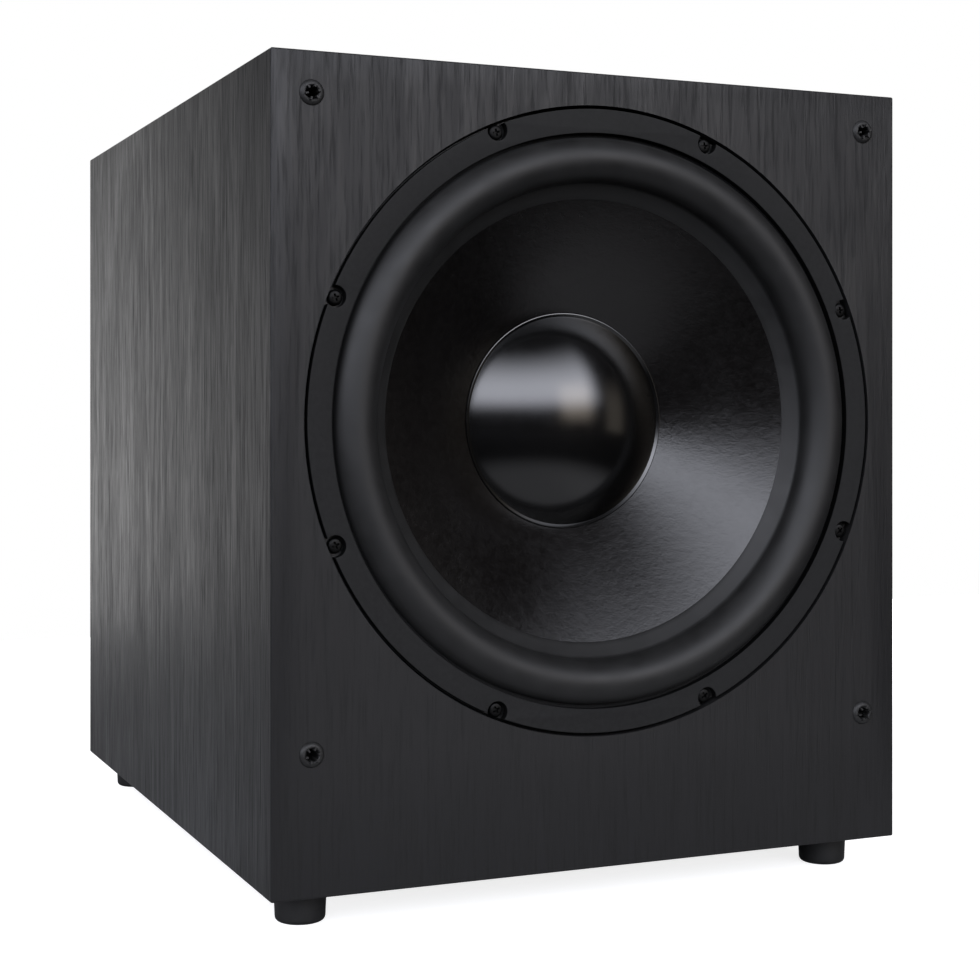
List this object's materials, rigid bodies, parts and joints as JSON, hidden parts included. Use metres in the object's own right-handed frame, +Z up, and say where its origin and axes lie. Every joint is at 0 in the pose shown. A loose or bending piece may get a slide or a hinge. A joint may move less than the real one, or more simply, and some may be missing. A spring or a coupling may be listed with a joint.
{
  "type": "subwoofer",
  "caption": "Powered subwoofer in a black wood-grain cabinet on rubber feet, with a large front woofer, a rear reflex port and a rear plate amplifier.",
  "frame": {"origin": "on the floor under the centre of the overall box", "axes": "+Z up, the front baffle and cone face -Y, the amplifier faces +Y, +X to the right seen from the front"},
  "size_m": [0.35, 0.4494, 0.418],
  "materials": {
    "black_ash_vinyl": "black wood-grain vinyl on MDF, semi-matt",
    "bare_mdf": "raw MDF",
    "polyester_wadding": "fibrous",
    "foot_rubber": "matt",
    "zinc_steel": "zinc plated",
    "black_steel": "black oxide, semi-gloss",
    "black_plastic": "moulded, satin",
    "gloss_black_plastic": "gloss",
    "foam_seal": "closed-cell foam",
    "gasket_board": "matt pressed fibre",
    "surround_rubber": "matt butyl rubber",
    "cone_pulp": "coated paper pulp, semi-gloss",
    "dust_cap_gloss": "gloss lacquer",
    "spider_cloth": "resin-treated cloth",
    "former_aluminium": "thin sheet",
    "copper_wire": "enamelled copper winding",
    "ferrite": "sintered ferrite",
    "plated_steel": "zinc plated steel",
    "tinned_copper": "tinned braid",
    "fibre_board": "phenolic",
    "amp_black": "black powder coat on steel",
    "anodised_black": "black anodised extrusion",
    "circuit_green": "solder mask",
    "capacitor_sleeve": "shrink sleeve",
    "transistor_epoxy": "epoxy",
    "transformer_tape": "polyester tape",
    "insulator_white": "moulded",
    "nickel_plate": "nickel plated",
    "gold_plate": "gold plated",
    "red_plastic": "clear red moulding",
    "lamp_lens": "diffused lens",
    "wire_insulation": "PVC",
    "fuse_glass": "glass tube"
  },
  "bodies": {
    "cabinet": {"left_side_panel": "black_ash_vinyl", "right_side_panel": "black_ash_vinyl", "top_panel": "black_ash_vinyl", "bottom_panel": "black_ash_vinyl", "front_baffle": "black_ash_vinyl", "back_panel": "black_ash_vinyl", "window_brace": "bare_mdf", "damping_mats": "polyester_wadding", "rubber_feet": "foot_rubber", "foot_screws": "zinc_steel", "grille_sockets": "black_plastic", "driver_seal": "foam_seal", "driver_basket": "black_steel", "driver_gasket": "gasket_board", "driver_screws": "black_steel", "surround": "surround_rubber", "spider": "spider_cloth", "front_pole_plate": "plated_steel", "magnet_rings": "ferrite", "pole_yoke": "plated_steel", "terminal_strip": "fibre_board", "terminal_lugs": "nickel_plate", "tinsel_leads": "tinned_copper", "reflex_port_tube": "black_plastic", "amp_plate": "amp_black", "amp_seal": "foam_seal", "amp_screws": "black_steel", "heat_sink": "anodised_black", "circuit_board": "circuit_green", "board_standoffs": "nickel_plate", "reservoir_capacitors": "capacitor_sleeve", "power_transistors": "transistor_epoxy", "mains_transformer": "transformer_tape", "transformer_clamp": "zinc_steel", "control_pots": "zinc_steel", "slide_switch_cases": "zinc_steel", "status_lamp": "lamp_lens", "line_input_shells": "gold_plate", "line_input_insulators": "insulator_white", "post_bases": "black_plastic", "post_studs": "gold_plate", "mains_inlet": "black_plastic", "inlet_pins": "nickel_plate", "rocker_housing": "black_plastic", "speaker_leads": "wire_insulation"},
    "cone_assembly": {"cone": "cone_pulp", "dust_cap": "dust_cap_gloss", "coil_former": "former_aluminium", "voice_coil": "copper_wire"},
    "volume_control": {"volume_knob": "gloss_black_plastic", "volume_shaft": "nickel_plate"},
    "crossover_control": {"crossover_knob": "gloss_black_plastic", "crossover_shaft": "nickel_plate"},
    "phase_switch_slider": {"phase_slider": "black_plastic"},
    "mode_switch_slider": {"mode_slider": "black_plastic"},
    "mains_rocker_body": {"mains_rocker": "gloss_black_plastic"},
    "fuse_drawer_body": {"fuse_drawer": "black_plastic", "fuse": "fuse_glass"},
    "red_post_cap": {"post_cap_1": "red_plastic"},
    "black_post_cap": {"post_cap_2": "gloss_black_plastic"}
  },
  "joints": [
    {"name": "cone_travel", "type": "slide", "parent": "cabinet", "child": "cone_assembly", "axis": [0, -1, 0], "range_m": [-0.01, 0.01], "stiffness_N_per_m": 3500, "deforming": ["surround", "spider", "tinsel_leads"]},
    {"name": "volume_turn", "type": "hinge", "parent": "cabinet", "child": "volume_control", "pos_m": [0.088, 0.20575, 0.254], "axis": [0, 1, 0], "range_deg": [-150, 150]},
    {"name": "crossover_turn", "type": "hinge", "parent": "cabinet", "child": "crossover_control", "pos_m": [0.045, 0.20575, 0.254], "axis": [0, 1, 0], "range_deg": [-150, 150]},
    {"name": "phase_slide", "type": "slide", "parent": "cabinet", "child": "phase_switch_slider", "axis": [-1, 0, 0], "range_m": [0, 0.004]},
    {"name": "mode_slide", "type": "slide", "parent": "cabinet", "child": "mode_switch_slider", "axis": [-1, 0, 0], "range_m": [-0.002, 0.002]},
    {"name": "mains_rock", "type": "hinge", "parent": "cabinet", "child": "mains_rocker_body", "pos_m": [0.072, 0.20375, 0.146], "axis": [1, 0, 0], "range_deg": [0, 16]},
    {"name": "fuse_drawer_slide", "type": "slide", "parent": "cabinet", "child": "fuse_drawer_body", "axis": [0, 1, 0], "range_m": [0, 0.014]},
    {"name": "red_cap_turn", "type": "hinge", "parent": "cabinet", "child": "red_post_cap", "pos_m": [-0.03, 0.20575, 0.212], "axis": [0, 1, 0], "range_deg": [0, 720]},
    {"name": "black_cap_turn", "type": "hinge", "parent": "cabinet", "child": "black_post_cap", "pos_m": [-0.056, 0.20575, 0.212], "axis": [0, 1, 0], "range_deg": [0, 720]}
  ]
}
